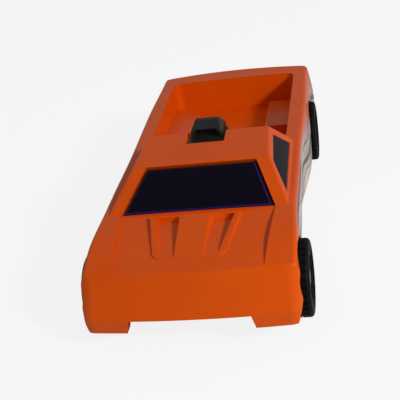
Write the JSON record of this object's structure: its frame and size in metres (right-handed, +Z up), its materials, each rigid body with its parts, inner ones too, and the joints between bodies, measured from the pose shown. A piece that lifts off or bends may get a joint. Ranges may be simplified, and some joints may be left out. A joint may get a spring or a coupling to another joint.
{
  "type": "die-cast toy pickup car",
  "caption": "Small die-cast toy pickup car with a tinted cab, an open bed, an engine scoop through the roof and free-rolling wheels.",
  "frame": {"origin": "on the ground under the centre of the body", "axes": "+Z up, -Y towards the nose, +X towards the car's own left side"},
  "size_m": [0.0333, 0.0744, 0.0201],
  "materials": {
    "painted_casting": "gloss metallic orange",
    "tinted_window": "clear moulded, dark purple tint",
    "black_plastic": "satin moulded",
    "black_base": "fine matt moulded",
    "rim_black": "gloss moulded",
    "tyre": "matt",
    "steel": "bright drawn wire"
  },
  "bodies": {
    "car": {"body_shell": "painted_casting", "window_insert": "tinted_window", "cabin_tub": "black_plastic", "engine": "black_plastic", "chassis_base": "black_base", "front_rivet": "steel", "rear_rivet": "steel"},
    "front_axle": {"front_axle": "steel"},
    "front_left_wheel": {"front_left_rim": "rim_black", "front_left_tyre": "tyre"},
    "front_right_wheel": {"front_right_rim": "rim_black", "front_right_tyre": "tyre"},
    "rear_axle": {"rear_axle": "steel"},
    "rear_left_wheel": {"rear_left_rim": "rim_black", "rear_left_tyre": "tyre"},
    "rear_right_wheel": {"rear_right_rim": "rim_black", "rear_right_tyre": "tyre"}
  },
  "joints": [
    {"name": "front_axle_spin", "type": "hinge", "parent": "car", "child": "front_axle", "pos_m": [0.00045, -0.0288, 0.00565], "axis": [1, 0, 0], "continuous": true},
    {"name": "front_left_wheel_spin", "type": "hinge", "parent": "car", "child": "front_left_wheel", "pos_m": [0.01515, -0.0288, 0.00565], "axis": [1, 0, 0], "continuous": true},
    {"name": "front_right_wheel_spin", "type": "hinge", "parent": "car", "child": "front_right_wheel", "pos_m": [-0.01425, -0.0288, 0.00565], "axis": [1, 0, 0], "continuous": true},
    {"name": "rear_axle_spin", "type": "hinge", "parent": "car", "child": "rear_axle", "pos_m": [0, 0.02245, 0.00565], "axis": [1, 0, 0], "continuous": true},
    {"name": "rear_left_wheel_spin", "type": "hinge", "parent": "car", "child": "rear_left_wheel", "pos_m": [0.0147, 0.02245, 0.00565], "axis": [1, 0, 0], "continuous": true},
    {"name": "rear_right_wheel_spin", "type": "hinge", "parent": "car", "child": "rear_right_wheel", "pos_m": [-0.0147, 0.02245, 0.00565], "axis": [1, 0, 0], "continuous": true}
  ]
}
